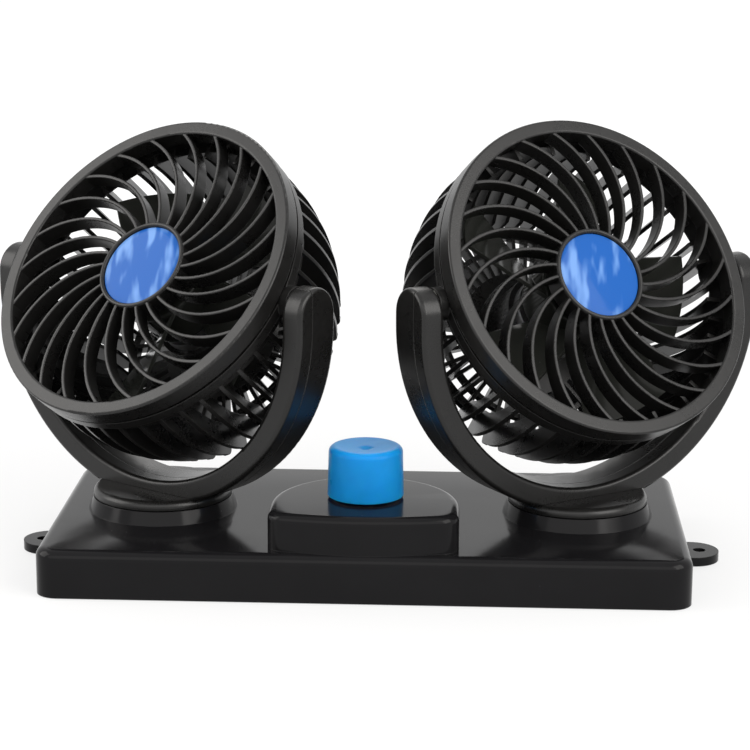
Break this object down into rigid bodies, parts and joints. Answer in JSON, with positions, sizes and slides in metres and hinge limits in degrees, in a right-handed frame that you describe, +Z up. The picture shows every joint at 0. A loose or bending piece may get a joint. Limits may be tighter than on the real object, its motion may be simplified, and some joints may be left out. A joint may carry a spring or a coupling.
{
  "type": "car fan",
  "caption": "Twin-head dashboard fan: low base with a speed knob and screw ears, U-shaped yokes that swivel, and round vaned heads that tilt.",
  "frame": {"origin": "middle of the underside of the base, on the surface that it stands on", "axes": "+X along the base to the right as seen from the front, +Y to the back, +Z up"},
  "size_m": [0.279, 0.1243, 0.1559],
  "materials": {
    "gloss_black": "high gloss",
    "satin_black": "fine satin grain",
    "knob_blue": "translucent tinted",
    "badge_blue": "bare, glossy",
    "pad_rubber": "matt",
    "tape_foam": "matt foam",
    "screw_steel": "zinc plated",
    "motor_steel": "drawn sheet",
    "bush_bronze": "sintered",
    "rotor_copper": "lacquered windings",
    "washer_nylon": "natural",
    "board_green": "solder mask",
    "part_grey": "moulded"
  },
  "bodies": {
    "base": {"base_housing": "gloss_black", "base_plate": "satin_black", "base_screws": "screw_steel", "foot_pads": "pad_rubber", "adhesive_pad": "tape_foam", "control_board": "board_green", "board_parts": "part_grey", "cable_grommet": "pad_rubber", "speed_switch": "part_grey", "switch_nut": "screw_steel"},
    "knob": {"speed_knob": "knob_blue", "switch_shaft": "motor_steel"},
    "left_yoke": {"left_yoke": "satin_black", "left_yoke_cover": "satin_black", "left_cover_screws": "screw_steel", "left_swivel_retainer": "part_grey", "left_retainer_screws": "screw_steel", "left_swivel_washer": "washer_nylon", "left_pivot_pins": "motor_steel", "left_tilt_washers": "washer_nylon"},
    "left_head": {"left_front_grille": "satin_black", "left_hub_badge": "badge_blue", "left_rear_cage": "satin_black", "left_motor_can": "motor_steel", "left_motor_end_cap": "part_grey", "left_motor_bush": "bush_bronze", "left_motor_screws": "screw_steel"},
    "left_fan": {"left_impeller": "gloss_black", "left_motor_shaft": "motor_steel", "left_motor_rotor": "rotor_copper"},
    "right_yoke": {"right_yoke": "satin_black", "right_yoke_cover": "satin_black", "right_cover_screws": "screw_steel", "right_swivel_retainer": "part_grey", "right_retainer_screws": "screw_steel", "right_swivel_washer": "washer_nylon", "right_pivot_pins": "motor_steel", "right_tilt_washers": "washer_nylon"},
    "right_head": {"right_front_grille": "satin_black", "right_hub_badge": "badge_blue", "right_rear_cage": "satin_black", "right_motor_can": "motor_steel", "right_motor_end_cap": "part_grey", "right_motor_bush": "bush_bronze", "right_motor_screws": "screw_steel"},
    "right_fan": {"right_impeller": "gloss_black", "right_motor_shaft": "motor_steel", "right_motor_rotor": "rotor_copper"}
  },
  "joints": [
    {"name": "knob_turn", "type": "hinge", "parent": "base", "child": "knob", "pos_m": [0, -0.027, 0.0298], "axis": [0, 0, -1], "range_deg": [0, 270]},
    {"name": "left_swivel", "type": "hinge", "parent": "base", "child": "left_yoke", "pos_m": [-0.07505, 0.002, 0.0215], "axis": [0, 0, 1], "range_deg": [-140.8, 209.2]},
    {"name": "left_tilt", "type": "hinge", "parent": "left_yoke", "child": "left_head", "pos_m": [-0.07505, 0.002, 0.0994], "axis": [-0.8271, 0.5621, 0], "range_deg": [-99, 51]},
    {"name": "left_fan_spin", "type": "hinge", "parent": "left_head", "child": "left_fan", "pos_m": [-0.07505, 0.002, 0.0994], "axis": [-0.4368, -0.6428, 0.6293], "continuous": true},
    {"name": "right_swivel", "type": "hinge", "parent": "base", "child": "right_yoke", "pos_m": [0.07505, 0.002, 0.0215], "axis": [0, 0, 1], "range_deg": [-207.7, 142.3]},
    {"name": "right_tilt", "type": "hinge", "parent": "right_yoke", "child": "right_head", "pos_m": [0.07505, 0.002, 0.0994], "axis": [-0.8415, -0.5402, 0], "range_deg": [-92.9, 57.1]},
    {"name": "right_fan_spin", "type": "hinge", "parent": "right_head", "child": "right_fan", "pos_m": [0.07505, 0.002, 0.0994], "axis": [0.4536, -0.7065, 0.5432], "continuous": true}
  ]
}
